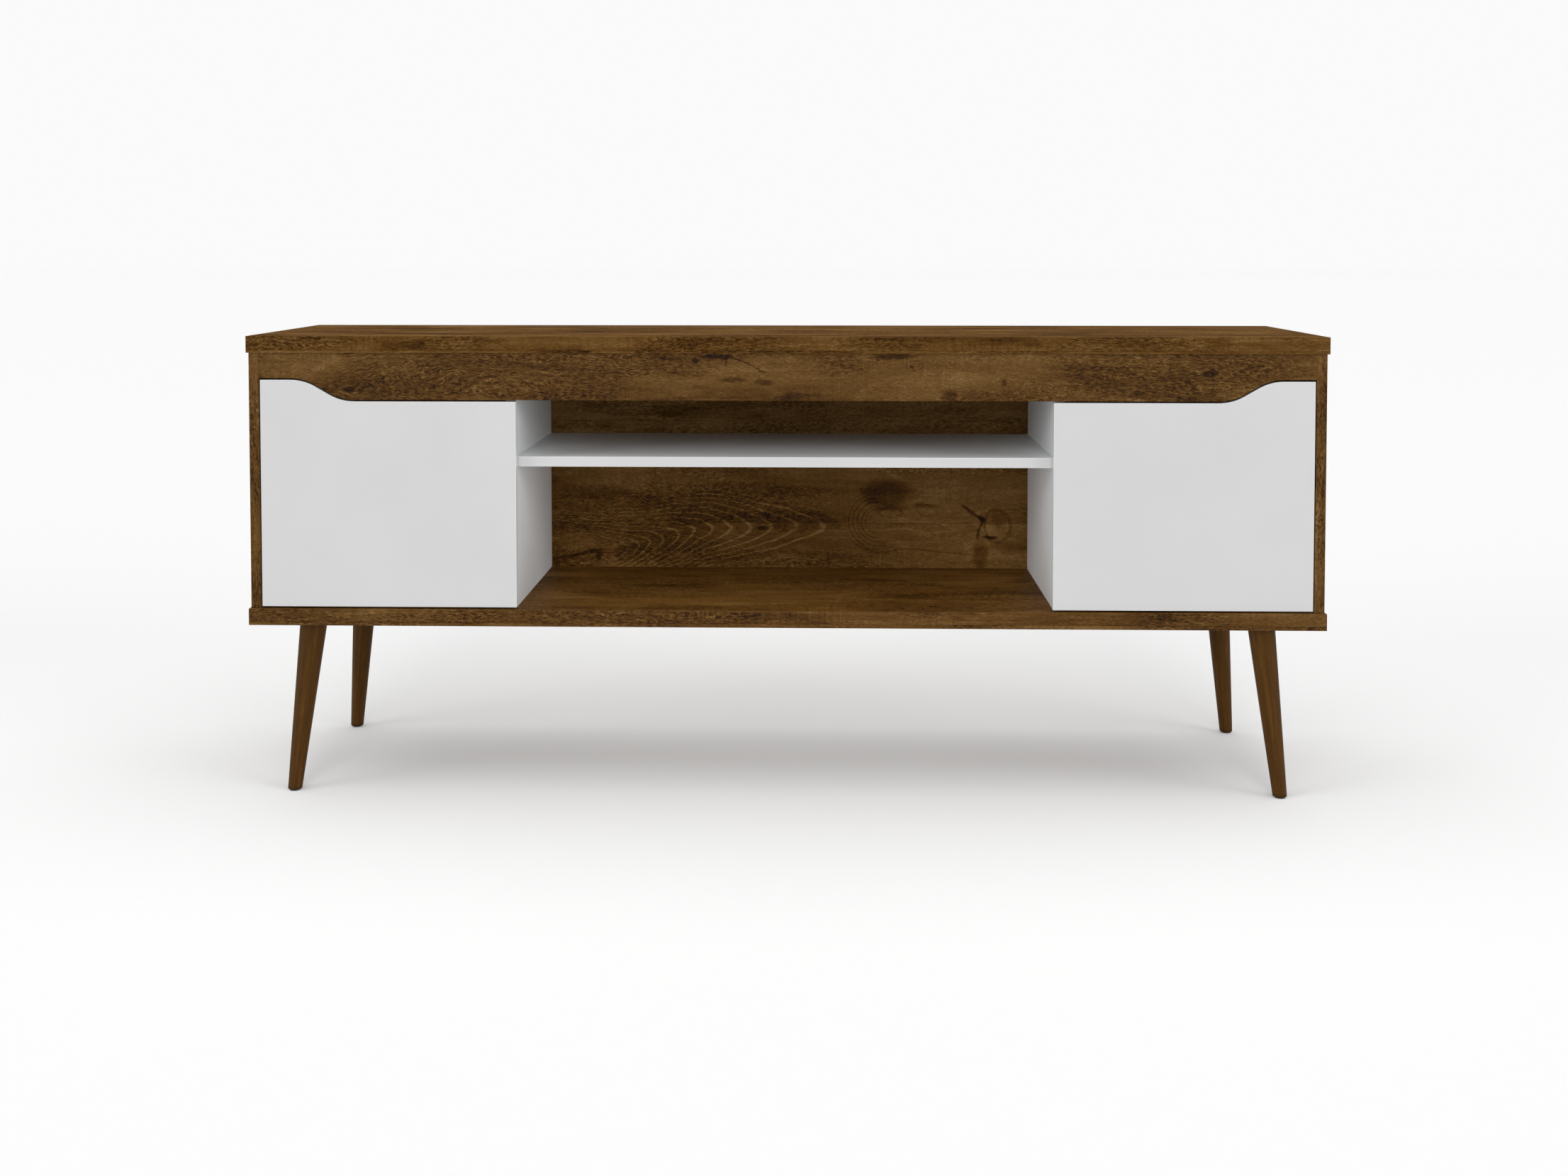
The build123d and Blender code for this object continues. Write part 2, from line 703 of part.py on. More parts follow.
# ---- back panels in their grooves, and their screws ---------------------------------
groove_end_play = 0.5
back_z = (bottom_top - groove_depth + groove_end_play, ceiling + groove_depth - groove_end_play)
back_y = (back_front_y, back_rear_y)
back_end = side_inner + groove_depth - groove_end_play
seam_half = 0.25
back_spans = {
    "left_back_panel": (-back_end, -divider_middle - seam_half),
    "centre_back_panel": (-divider_middle + seam_half, divider_middle - seam_half),
    "right_back_panel": (divider_middle + seam_half, back_end),
}

back_screw_points = divider_back_screws(-1) + divider_back_screws(1) + shelf_back_screws

for panel_name, span in back_spans.items():
    with BuildPart() as back_panel:
        block(span, back_y, back_z)
        drill_back_screws([(x, z) for x, z in back_screw_points if span[0] < x < span[1]])
    finish(back_panel, panel_name)

with BuildPart() as back_panel_screws:
    for x, z in back_screw_points:
        pan_screw((x, back_rear_y - back_screw_length, z), (x, back_rear_y, z),
                  small_screw_radius, small_head_radius, small_head_height)
finish(back_panel_screws, "back_panel_screws")

# ---- dowels, cam locks, cam bolts and shelf screws ----------------------------------
with BuildPart() as wood_dowels:
    shelf_dowels = shelf_dowel_ends(-1) + shelf_dowel_ends(1)
    for start, end in slab_dowel_ends + apron_end_dowel_ends + shelf_dowels:
        rod(start, end, dowel_radius)
finish(wood_dowels, "wood_dowels")

with BuildPart() as cam_bolts:
    for start, end in all_bolt_ends:
        rod(start, end, cam_bolt_radius)
finish(cam_bolts, "cam_bolts")

upright_cams = [ends for x, side in uprights for ends in upright_cam_ends(x, side)]
cam_throat = 0.6                 # play around the bolt inside a lock
cam_recess = (5, 0.6, 1.2)       # reach, half width and depth of the crosshead recess

with BuildPart() as cam_locks:
    for closed, mouth in upright_cams + apron_cam_ends:
        rod(closed, mouth, cam_radius)
    for start, end in all_bolt_ends:
        rod(start, end, cam_bolt_radius + cam_throat, Mode.SUBTRACT)
    for closed, mouth in upright_cams + apron_cam_ends:
        cross_recess(mouth, Vector(*closed) - Vector(*mouth), *cam_recess)
finish(cam_locks, "cam_locks")

with BuildPart() as shelf_screws:
    for sign in (-1, 1):
        for y in shelf_screw_ys:
            face = divider_outer - shelf_head_sunk
            head = (sign * face, y, shelf_mid)
            rod(head, (sign * (divider_outer - shelf_head_depth), y, shelf_mid), shelf_screw_head)
            rod(head, (sign * (divider_outer - shelf_screw_length), y, shelf_mid),
                shelf_screw_radius)
            rod(head, (sign * (face - shelf_socket_depth), y, shelf_mid), shelf_socket_radius,
                Mode.SUBTRACT)
finish(shelf_screws, "shelf_screws")
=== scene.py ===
"""Looks of the two-door television cabinet, in metres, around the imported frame."""
import math
import bpy
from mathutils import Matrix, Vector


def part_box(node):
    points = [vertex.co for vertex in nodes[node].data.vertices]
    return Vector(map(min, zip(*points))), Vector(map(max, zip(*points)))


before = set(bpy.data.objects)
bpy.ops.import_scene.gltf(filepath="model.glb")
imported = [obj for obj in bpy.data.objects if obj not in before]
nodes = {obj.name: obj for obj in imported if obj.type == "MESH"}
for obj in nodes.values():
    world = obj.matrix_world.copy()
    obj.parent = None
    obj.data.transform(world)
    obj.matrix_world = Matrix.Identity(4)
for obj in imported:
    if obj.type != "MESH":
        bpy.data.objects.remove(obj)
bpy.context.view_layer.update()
scene = bpy.context.scene

# ---- camera -------------------------------------------------------------------------
LENS = 38.41                 # millimetres on a 36 mm wide sensor
EYE = (0.0617, -2.6414, 0.8158)
PITCH = math.radians(2.25)   # looking down a little
YAW = math.radians(1.424)
SHIFT_DOWN = -0.175

camera_data = bpy.data.cameras.new("camera")
camera_data.lens = LENS
camera_data.sensor_width = 36
camera_data.shift_y = SHIFT_DOWN
camera = bpy.data.objects.new("camera", camera_data)
camera.location = EYE
camera.rotation_euler = (math.pi / 2 - PITCH, 0, YAW)
scene.collection.objects.link(camera)
scene.camera = camera
scene.view_settings.view_transform = "Standard"

# ---- studio -------------------------------------------------------------------------
FLOOR_HALF = 60
FLOOR_GLOW = 0.13            # the floor is lit from below a little, like a light table
BACKDROP = 0.96              # how bright the camera sees the studio behind the object
SKY_LIGHT = 0.16             # what the studio gives from all sides
# Each soft light is a wide sun: (azimuth it comes from, elevation, width, strength), where
# azimuth 0 is the front and the angles are in degrees.
SOFT_LIGHTS = {
    "top_light": (0, 84, 90, 1.65),
    "high_light": (0, 24, 24, 0.68),
    "eye_light": (2, 3, 20, 0.27),
    "left_light": (-60, 9, 30, 1.08),
    "right_light": (60, 9, 30, 1.08),
}


def colour(red, green, blue, gain=1.0):
    """Linear colour, with alpha, of 0 to 255 display values."""
    linear = []
    for value in (red, green, blue):
        share = value / 255
        curve = share / 12.92 if share <= 0.04045 else ((share + 0.055) / 1.055) ** 2.4
        linear.append(curve * gain)
    return (*linear, 1.0)


def grey(level):
    """Linear grey of one display value."""
    return colour(level, level, level)


world = bpy.data.worlds.new("studio")
world.use_nodes = True
sky = world.node_tree
seen = sky.nodes.new("ShaderNodeLightPath").outputs["Is Camera Ray"]
strength = sky.nodes.new("ShaderNodeMapRange")
strength.inputs["To Min"].default_value = SKY_LIGHT
strength.inputs["To Max"].default_value = BACKDROP
sky.links.new(seen, strength.inputs["Value"])
sky.links.new(strength.outputs[0], sky.nodes["Background"].inputs["Strength"])
sky.nodes["Background"].inputs["Color"].default_value = (1, 1, 1, 1)
scene.world = world


def soft_light(name, azimuth, elevation, spread, strength):
    """A wide, even light from one direction."""
    data = bpy.data.lights.new(name, "SUN")
    data.angle = math.radians(spread)
    data.energy = strength
    light = bpy.data.objects.new(name, data)
    light.rotation_euler = (math.radians(90 - elevation), 0, math.radians(azimuth))
    scene.collection.objects.link(light)


for light_name, settings in SOFT_LIGHTS.items():
    soft_light(light_name, *settings)


# ---- material graphs ----------------------------------------------------------------
class Graph:
    """One procedural material: makes nodes, joins them and hands back sockets."""

    def __init__(self, name):
        self.material = bpy.data.materials.new(name)
        self.material.use_nodes = True
        self.tree = self.material.node_tree
        self.shader = self.tree.nodes["Principled BSDF"]
        self.place = self.add("ShaderNodeTexCoord").outputs["Object"]
        self.normal = self.add("ShaderNodeTexCoord").outputs["Normal"]

    def add(self, kind, **settings):
        """A node of one kind, with its settings."""
        node = self.tree.nodes.new(kind)
        for key, value in settings.items():
            setattr(node, key, value)
        return node

    def put(self, value, socket):
        """Joins an output to a socket, or sets a plain value on it."""
        if isinstance(value, bpy.types.NodeSocket):
            self.tree.links.new(value, socket)
        else:
            socket.default_value = value

    def math(self, operation, first, second=0.0, third=0.0, clamp=False):
        """One sum of up to three numbers."""
        node = self.add("ShaderNodeMath", operation=operation, use_clamp=clamp)
        for value, socket in zip((first, second, third), node.inputs):
            self.put(value, socket)
        return node.outputs[0]

    def vector(self, operation, first, second=(0, 0, 0)):
        """One sum of two vectors."""
        node = self.add("ShaderNodeVectorMath", operation=operation)
        self.put(first, node.inputs[0])
        self.put(second, node.inputs[1])
        return node.outputs[0]

    def split(self, vector):
        """The three parts of a vector or colour."""
        node = self.add("ShaderNodeSeparateXYZ")
        self.put(vector, node.inputs[0])
        return node.outputs

    def join(self, x, y, z):
        """A vector of three parts."""
        node = self.add("ShaderNodeCombineXYZ")
        for value, socket in zip((x, y, z), node.inputs):
            self.put(value, socket)
        return node.outputs[0]

    def noise(self, vector, stretch, detail=3.0, roughness=0.5, offset=(0, 0, 0)):
        """Smooth noise, 0 to 1, with stretch as its frequencies per metre."""
        moved = self.vector("ADD", vector, offset)
        node = self.add("ShaderNodeTexNoise")
        self.put(self.vector("MULTIPLY", moved, stretch), node.inputs["Vector"])
        node.inputs["Scale"].default_value = 1.0
        node.inputs["Detail"].default_value = detail
        node.inputs["Roughness"].default_value = roughness
        return node.outputs[0]

    def spots(self, vector, stretch):
        """Distance to the nearest of a set of points scattered on the face, and its own value."""
        node = self.add("ShaderNodeTexVoronoi", voronoi_dimensions="2D")
        self.put(self.vector("MULTIPLY", vector, stretch), node.inputs["Vector"])
        node.inputs["Scale"].default_value = 1.0
        return node.outputs["Distance"], self.split(node.outputs["Color"])[0]

    def waver(self, vector, frequency, amount):
        """The place moved about by smooth noise."""
        node = self.add("ShaderNodeTexNoise")
        self.put(vector, node.inputs["Vector"])
        node.inputs["Scale"].default_value = frequency
        node.inputs["Detail"].default_value = 3.0
        centred = self.vector("SUBTRACT", node.outputs["Color"], (0.5, 0.5, 0.5))
        shift = self.vector("MULTIPLY", centred, (amount, amount, amount))
        return self.vector("ADD", vector, shift)

    def length(self, vector):
        """How long a vector is."""
        node = self.add("ShaderNodeVectorMath", operation="LENGTH")
        self.put(vector, node.inputs[0])
        return node.outputs["Value"]

    def rise(self, value, low, high, start=0.0, end=1.0):
        """A smooth step from start to end as value goes from low to high."""
        node = self.add("ShaderNodeMapRange", interpolation_type="SMOOTHSTEP")
        keys = ("Value", "From Min", "From Max", "To Min", "To Max")
        for key, amount in zip(keys, (value, low, high, start, end)):
            self.put(amount, node.inputs[key])
        return node.outputs[0]

    def ramp(self, value, stops):
        """A colour along a list of (position, colour) stops."""
        node = self.add("ShaderNodeValToRGB")
        elements = node.color_ramp.elements
        while len(elements) < len(stops):
            elements.new(0.5)
        for element, (position, shade) in zip(elements, stops):
            element.position = position
            element.color = shade
        self.put(value, node.inputs["Fac"])
        return node.outputs["Color"]

    def mix(self, share, first, second):
        """Two colours, with the second one's share from 0 to 1."""
        node = self.add("ShaderNodeMix", data_type="RGBA")
        self.put(share, node.inputs["Factor"])
        self.put(first, node.inputs["A"])
        self.put(second, node.inputs["B"])
        return node.outputs["Result"]

    def edge(self):
        """1 on eased edges, 0 on the flat faces of a box-shaped board."""
        size = self.vector("ABSOLUTE", self.normal)
        x, y, z = self.split(size)
        flat = self.math("MAXIMUM", self.math("MAXIMUM", x, y), z)
        return self.rise(flat, 0.99, 0.86)

    def bump(self, height, distance):
        """Relief of a depth in metres, from a height of 0 to 1."""
        node = self.add("ShaderNodeBump")
        node.inputs["Strength"].default_value = 1.0
        node.inputs["Distance"].default_value = distance
        self.put(height, node.inputs["Height"])
        self.put(node.outputs["Normal"], self.shader.inputs["Normal"])

    def finish(self, base, roughness, metallic=0.0, specular=0.5):
        """Sets the surface and hands back the finished material."""
        self.put(base, self.shader.inputs["Base Color"])
        self.put(roughness, self.shader.inputs["Roughness"])
        self.shader.inputs["Metallic"].default_value = metallic
        self.shader.inputs["Specular IOR Level"].default_value = specular
        return self.material


# ---- rustic wood print --------------------------------------------------------------
# A stretch is a noise's frequencies per metre along, across and through the grain, and an
# offset moves it so that no two noises share a pattern.
PRINT_SHADES = ((28, 11, 0), (58, 33, 2), (84, 54, 12), (105, 74, 33), (134, 103, 60))
# painted highlight: the lighter colour that the eased edges of the print are painted towards
PAINTED_EDGE_HIGHLIGHT = (134, 104, 68)
SEED_STEP = (3.7, 0.391, 1.13)   # how far apart the prints of two boards are taken
PLANK = 0.172                # width of the planks in the print
PLANK_SHIFT = 9.0            # how far a plank's print may be moved along from its neighbour's
SEAM = 0.008                 # width of the dark line between planks, as a part of a plank
RING = 0.0145                # spacing of the growth lines
HEART_DEPTH = 0.34           # how deep the heart of the tree runs below the plank's face
HEART_LEVEL = 0.46           # the part of its noise at which the heart meets the face
KNOT_SWELL = 0.05            # how far growth lines are pushed out by a knot
KNOT_RINGS = 120             # rings round a knot, in radians per cell
SWAY, SWIRL, CURL = 0.10, 0.030, 0.0030   # how far the bends of the grain move it across
RELIEF = 0.0002              # depth of the print's embossing


def print_stops(gain):
    """The colours of the print from its darkest to its lightest mark."""
    steps = len(PRINT_SHADES) - 1
    return [(i / steps, colour(*shade, gain)) for i, shade in enumerate(PRINT_SHADES)]


def along_grain(g, grain):
    """Place on the board as (along the grain, across, through)."""
    x, y, z = g.split(g.place)
    if grain == "x":
        return g.join(x, g.math("ADD", z, y), g.math("SUBTRACT", z, y))
    return g.join(z, g.math("ADD", x, y), g.math("SUBTRACT", x, y))


def add_up(g, start, *marks):
    """A tone with each mark, a (value, middle, weight), added to it."""
    total = start
    for value, middle, weight in marks:
        centred = g.math("SUBTRACT", value, middle)
        total = g.math("MULTIPLY_ADD", centred, weight, total)
    return total


def in_plank(g, place, seed):
    """The place in a plank's own print, how far up the plank it is, its tone and its heart."""
    shifted = g.vector("ADD", place, tuple(seed * step for step in SEED_STEP))
    u, v, w = g.split(shifted)
    row = g.math("DIVIDE", v, PLANK)
    scatter = g.add("ShaderNodeTexWhiteNoise", noise_dimensions="1D")
    g.put(g.math("FLOOR", row), scatter.inputs["W"])
    own_place, own_tone, own_heart = g.split(scatter.outputs["Color"])
    u = g.math("MULTIPLY_ADD", own_place, PLANK_SHIFT, u)
    return (u, v, w), g.math("FRACT", row), own_tone, own_heart


def bends(g, own):
    """How the grain sways over a long way, swirls in patches and curls finely."""
    sway = g.noise(own, (1.8, 4, 4), 2.0)
    swirl = g.noise(own, (13, 24, 24), 2.0, offset=(5, 1, 2))
    curl = g.noise(own, (75, 120, 120), 2.0, offset=(2, 2, 9))
    return sway, swirl, curl


def scattered_knots(g, own, swirl, curl):
    """Distance from the knots, most of them left out, with a ragged outline."""
    knots, knot_size = g.spots(own, (3.1, 7.6, 0))
    knots = g.math("ADD", knots, g.rise(knot_size, 0.62, 0.42, 0.0, 0.5))
    return add_up(g, knots, (swirl, 0.5, 0.10), (curl, 0.5, 0.05))


def growth_lines(g, own, height, own_heart, knots, sway, swirl, curl):
    """Growth lines about a heart that runs in and out of the plank's face, and where they show."""
    heart = g.noise(own, (1.5, 0.3, 0.3), 1.0, offset=(4.1, 2.3, 0.7))
    across = g.math("SUBTRACT", height, g.math("MULTIPLY_ADD", own_heart, 0.6, 0.2))
    across = add_up(g, g.math("MULTIPLY", across, PLANK), (sway, 0.5, 0.09), (swirl, 0.5, 0.010),
                    (curl, 0.5, 0.002))
    inward = g.math("MULTIPLY", g.math("SUBTRACT", heart, HEART_LEVEL), HEART_DEPTH)
    square = g.math("MULTIPLY_ADD", inward, inward, g.math("MULTIPLY", across, across))
    radius = g.math("MULTIPLY_ADD", g.rise(knots, 0.45, 0.0), KNOT_SWELL, g.math("SQRT", square))
    ring = g.math("FRACT", g.math("DIVIDE", radius, RING))
    line = g.math("MULTIPLY", g.rise(ring, 0.70, 0.88), g.rise(ring, 1.0, 0.95))
    here = g.rise(g.noise(own, (2.6, 5, 5), 2.0, offset=(3, 3, 8)), 0.42, 0.55)
    return g.math("MULTIPLY", line, here), here


def open_grain(g, own, open_marks):
    """1 in patches of open grain, 0 in the smooth wood between."""
    patches = g.rise(g.noise(own, (4.5, 11, 11), 3.0, offset=(0, 6, 3)), 0.40, 0.60)
    return g.math("ADD", add_up(g, patches, *open_marks), 0.0, clamp=True)


def fibres(g, grain, open_here):
    """Dark flecks and pale hairlines of open grain, and the pores everywhere."""
    fleck = g.rise(g.noise(grain, (115, 680, 200), 2.0, 0.6), 0.54, 0.42)
    fleck = g.math("MULTIPLY", fleck, g.rise(open_here, 0, 1, 0.25, 1.0))
    hair = g.rise(g.noise(grain, (140, 860, 250), 2.0, 0.6, offset=(3, 7, 1)), 0.50, 0.62)
    pore = g.noise(grain, (170, 900, 300), 2.0, 0.7)
    return fleck, g.math("MULTIPLY", hair, open_here), pore


def saw_marks(g, own, open_here):
    """Faint marks across the grain, stronger where it is smooth."""
    saw = g.noise(own, (330, 5, 5), 2.0, 0.5)
    here = g.rise(g.noise(own, (7, 11, 11), 2.0, offset=(1, 8, 2)), 0.48, 0.60)
    here = g.math("MULTIPLY", here, g.rise(open_here, 0, 1, 1.0, 0.3))
    return g.math("MULTIPLY_ADD", g.math("SUBTRACT", saw, 0.5), here, 0.5)


def knot_marks(g, grain, knots):
    """A knot's dark core, the rings round it and the cracks that run from it."""
    core = g.rise(knots, 0.045, 0.02)
    halo = g.math("SINE", g.math("MULTIPLY", knots, KNOT_RINGS))
    halo = g.math("MULTIPLY", g.rise(halo, 0.1, 0.9), g.rise(knots, 0.26, 0.08))
    crack = g.noise(grain, (16, 210, 60), 3.0, 0.7, offset=(9, 4, 4))
    crack = g.math("MULTIPLY", g.rise(crack, 0.40, 0.30), g.rise(knots, 0.38, 0.14))
    return core, halo, crack


def print_tone(g, place, seed, lines, mottle, figure):
    """How light the print is at a place, 0 to 1, and its relief."""
    (u, v, w), height, own_tone, own_heart = in_plank(g, place, seed)
    own = g.join(u, v, w)
    sway, swirl, curl = bends(g, own)
    bent = add_up(g, v, (sway, 0.5, SWAY), (swirl, 0.5, SWIRL), (curl, 0.5, CURL))
    grain = g.join(u, bent, w)
    marks, open_marks = figure(g)

    knots = scattered_knots(g, own, swirl, curl)
    line, lines_here = growth_lines(g, own, height, own_heart, knots, sway, swirl, curl)
    open_here = open_grain(g, own, open_marks)
    fleck, hair, pore = fibres(g, grain, open_here)
    saw = saw_marks(g, own, open_here)
    core, halo, crack = knot_marks(g, grain, knots)
    streak = g.noise(grain, (2.2, 55, 55), 4.0, 0.62)
    cloud = g.noise(own, (5, 13, 13), 4.0, 0.6, offset=(2, 1, 5))
    burn = g.rise(g.noise(own, (6, 18, 18), 4.0, 0.62, offset=(7, 3, 1)), 0.54, 0.70)
    seam = g.math("MINIMUM", height, g.math("SUBTRACT", 1.0, height))

    tone = add_up(g, 0.66, (cloud, 0.5, mottle), (streak, 0.5, 0.45), (pore, 0.5, 0.9),
                  (own_tone, 0.5, 0.10), (open_here, 0.5, -0.10), (fleck, 0, -0.36),
                  (hair, 0, 0.20), (line, 0, lines), (lines_here, 0, -0.4 * lines),
                  (burn, 0, -0.26), (saw, 0.5, 0.42), (core, 0, -0.36), (crack, 0, -0.34),
                  (halo, 0, -0.10), (g.rise(seam, SEAM, 0.0), 0, -0.12), *marks)
    relief = add_up(g, pore, (fleck, 0, -0.8), (crack, 0, -0.8))
    return g.math("ADD", tone, 0.0, clamp=True), relief


# ---- the figure of a board: marks put at chosen places of its print -----------------
# A figure gives two lists of marks: those added to the tone, and those added to how open the
# grain is. Places are (x, z) on the board's face, in metres.
def no_figure(g):
    """A board whose print is only the scattered marks."""
    return (), ()


def blot(g, place, centre, half, weight, soft=0.5):
    """A patch about a point (x, z), with its half sizes."""
    offset = g.vector("SUBTRACT", place, (centre[0], 0, centre[1]))
    reach = g.length(g.vector("MULTIPLY", offset, (1 / half[0], 0, 1 / half[1])))
    return g.rise(reach, 1.0 + soft / 2, 1.0 - soft), 0, weight


def split_line(g, place, start, end, width, weight):
    """A crack from one point (x, z) to another."""
    run = (end[0] - start[0], end[1] - start[1])
    long = math.hypot(*run)
    x, y, z = g.split(g.vector("SUBTRACT", place, (start[0], 0, start[1])))
    along = g.math("MULTIPLY_ADD", x, run[0] / long, g.math("MULTIPLY", z, run[1] / long))
    off = g.math("MULTIPLY_ADD", z, run[0] / long, g.math("MULTIPLY", x, -run[1] / long))
    mark = g.rise(g.math("ABSOLUTE", off), width, width / 3)
    mark = g.math("MULTIPLY", mark, g.rise(along, -width, width))
    return g.math("MULTIPLY", mark, g.rise(along, long + width, long - width)), 0, weight


def rings(g, place, centre, half, count, weight, left_only=False):
    """Growth rings about a point (x, z), out to its half sizes."""
    offset = g.vector("SUBTRACT", place, (centre[0], 0, centre[1]))
    reach = g.length(g.vector("MULTIPLY", offset, (1 / half[0], 0, 1 / half[1])))
    wave = g.math("SINE", g.math("MULTIPLY", reach, count * math.tau))
    mark = g.math("MULTIPLY", g.rise(wave, 0.2, 0.95), g.rise(reach, 1.05, 0.98))
    mark = g.math("MULTIPLY", mark, g.rise(reach, 0.2, 0.5))    # none at the very middle
    if left_only:
        mark = g.math("MULTIPLY", mark, g.rise(g.split(offset)[0], 0.012, -0.012))
    return mark, 0, weight


FLAME_LEFT, FLAME_TIP = -0.33, 0.088     # where the flame figure starts and ends along x
FLAME_LEVEL = -0.09                      # where its heart stops rising
FLAME_HEART = (0.303, 0.346)             # height of its heart at its left and its right
FLAME_TAPER, FLAME_POINT = 32, 1.8       # how fast its arms run back from the tips, and how sharp
FLAME_FIRST, FLAME_SPREAD = 0.013, 0.085  # gap between its first lines, and how gaps grow
FLAME_EDGE = (0.085, 0.055)              # how far from its heart it fades out


def flame(g, place):
    """Nested pale growth lines with their tips to the right, wider apart towards the tip."""
    x, y, z = g.split(place)
    heart = g.rise(x, FLAME_LEFT, FLAME_LEVEL, *FLAME_HEART)
    off = g.math("ABSOLUTE", g.math("SUBTRACT", z, heart))
    reach = g.math("MULTIPLY_ADD", g.math("POWER", off, FLAME_POINT), FLAME_TAPER, x)
    run = g.math("MAXIMUM", g.math("SUBTRACT", reach, FLAME_LEFT), 0.0)
    count = g.math("MULTIPLY_ADD", run, FLAME_SPREAD / FLAME_FIRST, 1.0)
    count = g.math("DIVIDE", g.math("LOGARITHM", count, math.e), FLAME_SPREAD)
    part = g.math("FRACT", count)
    line = g.math("MULTIPLY", g.rise(part, 0.70, 0.84), g.rise(part, 1.0, 0.93))
    here = g.math("MULTIPLY", g.rise(reach, FLAME_TIP + 0.004, FLAME_TIP - 0.004),
                  g.rise(run, 0.03, 0.08))
    here = g.math("MULTIPLY", here, g.rise(off, *FLAME_EDGE))
    return (g.math("MULTIPLY", line, here), 0, 0.34), (here, 0, -0.08)


def ringed_knot(g, place, ragged):
    """An oblong dark knot with rings to its left, a smaller one beside it, and a crack below."""
    return (
        rings(g, place, (0.150, 0.355), (0.056, 0.052), 8, -0.22, left_only=True),
        blot(g, ragged, (0.164, 0.402), (0.046, 0.026), -0.42),
        blot(g, ragged, (0.172, 0.376), (0.034, 0.007), -0.30),
        rings(g, ragged, (0.170, 0.368), (0.024, 0.010), 1.5, -0.18),
        blot(g, ragged, (0.231, 0.381), (0.026, 0.005), -0.24),
        rings(g, ragged, (0.231, 0.373), (0.022, 0.012), 1.5, -0.12),
        split_line(g, place, (0.109, 0.316), (0.146, 0.303), 0.0020, -0.24),
        split_line(g, place, (0.146, 0.303), (0.215, 0.309), 0.0018, -0.22),
        split_line(g, place, (0.215, 0.309), (0.316, 0.297), 0.0018, -0.22),
    )


def split_knot(g, place, ragged):
    """A knot near the right end: a Y-shaped split, a pale chip and a ring."""
    return (
        split_line(g, ragged, (0.292, 0.382), (0.322, 0.359), 0.0036, -0.50),
        blot(g, ragged, (0.323, 0.361), (0.008, 0.005), -0.50),
        split_line(g, ragged, (0.324, 0.362), (0.315, 0.328), 0.0040, -0.50),
        blot(g, ragged, (0.337, 0.343), (0.014, 0.009), 0.16),
        blot(g, place, (0.338, 0.331), (0.014, 0.0030), -0.60),
        rings(g, ragged, (0.350, 0.350), (0.026, 0.032), 1.5, -0.22),
        blot(g, ragged, (0.352, 0.360), (0.014, 0.016), -0.18),
        blot(g, ragged, (0.321, 0.298), (0.014, 0.024), -0.30),
    )


def back_figure(g):
    """The centre back: a flame on the left, a ringed knot and a split one on the right."""
    place = g.waver(g.waver(g.place, 9, 0.020), 45, 0.005)
    ragged = g.waver(place, 110, 0.009)
    marks = (
        *flame(g, place),
        # painted light: the back is painted paler across the upper bay, behind the apron, where
        # the apron shades it
        blot(g, ragged, (0, 0.540), (0.60, 0.100), 0.21),         # paler behind the apron
        blot(g, place, (-0.12, 0.345), (0.30, 0.070), -0.06),
        blot(g, place, (0.25, 0.345), (0.16, 0.075), 0.04),
        *ringed_knot(g, place, ragged),
        *split_knot(g, place, ragged),
        blot(g, ragged, (-0.318, 0.298), (0.006, 0.010), -0.42),
        split_line(g, ragged, (-0.396, 0.290), (-0.322, 0.305), 0.005, -0.34),
    )
    open_marks = (
        blot(g, ragged, (-0.31, 0.370), (0.15, 0.050), 0.9),
        blot(g, ragged, (-0.06, 0.408), (0.16, 0.014), 0.9),
        blot(g, ragged, (0.25, 0.345), (0.16, 0.070), -0.8),
    )
    return marks, open_marks


def apron_knot(g, place, ragged):
    """A small knot left of the middle, with a dark streak and a split running from it."""
    return (
        blot(g, place, (-0.131, 0.649), (0.0055, 0.0050), -0.40),
        blot(g, ragged, (-0.097, 0.655), (0.024, 0.0040), -0.46),
        split_line(g, ragged, (-0.078, 0.654), (-0.050, 0.645), 0.0020, -0.42),
        split_line(g, ragged, (-0.050, 0.645), (-0.027, 0.631), 0.0018, -0.42),
        split_line(g, ragged, (-0.086, 0.653), (-0.084, 0.640), 0.0016, -0.34),
        blot(g, ragged, (-0.075, 0.620), (0.022, 0.0036), -0.34),
        blot(g, ragged, (-0.030, 0.617), (0.016, 0.0060), -0.32),
    )


def curled_knot(g, ragged):
    """A curl right of the middle, with a dark streak over it and two spots beside it."""
    return (
        rings(g, ragged, (0.194, 0.642), (0.013, 0.009), 2.5, -0.20),
        blot(g, ragged, (0.190, 0.641), (0.004, 0.003), -0.36),
        blot(g, ragged, (0.160, 0.656), (0.034, 0.0050), -0.38),
        blot(g, ragged, (0.245, 0.598), (0.012, 0.0100), -0.32),
        blot(g, ragged, (0.325, 0.617), (0.005, 0.0070), -0.36),
    )


def apron_figure(g):
    """The apron: two small knots near the middle, and open grain towards both ends."""
    place = g.waver(g.waver(g.place, 30, 0.006), 120, 0.003)
    ragged = g.waver(place, 160, 0.007)
    marks = (
        blot(g, ragged, (-0.080, 0.640), (0.060, 0.013), 0.09),
        *apron_knot(g, place, ragged),
        *curled_knot(g, ragged),
        blot(g, ragged, (-0.740, 0.650), (0.070, 0.050), 0.07),   # the pale left end
    )
    open_marks = (
        blot(g, ragged, (-0.40, 0.630), (0.20, 0.040), 0.9),
        blot(g, ragged, (-0.02, 0.640), (0.10, 0.020), -0.8),
        blot(g, ragged, (0.22, 0.630), (0.13, 0.040), -0.6),
        blot(g, ragged, (0.57, 0.630), (0.19, 0.050), 0.9),
        blot(g, ragged, (-0.72, 0.640), (0.08, 0.040), -0.8),
    )
    return marks, open_marks


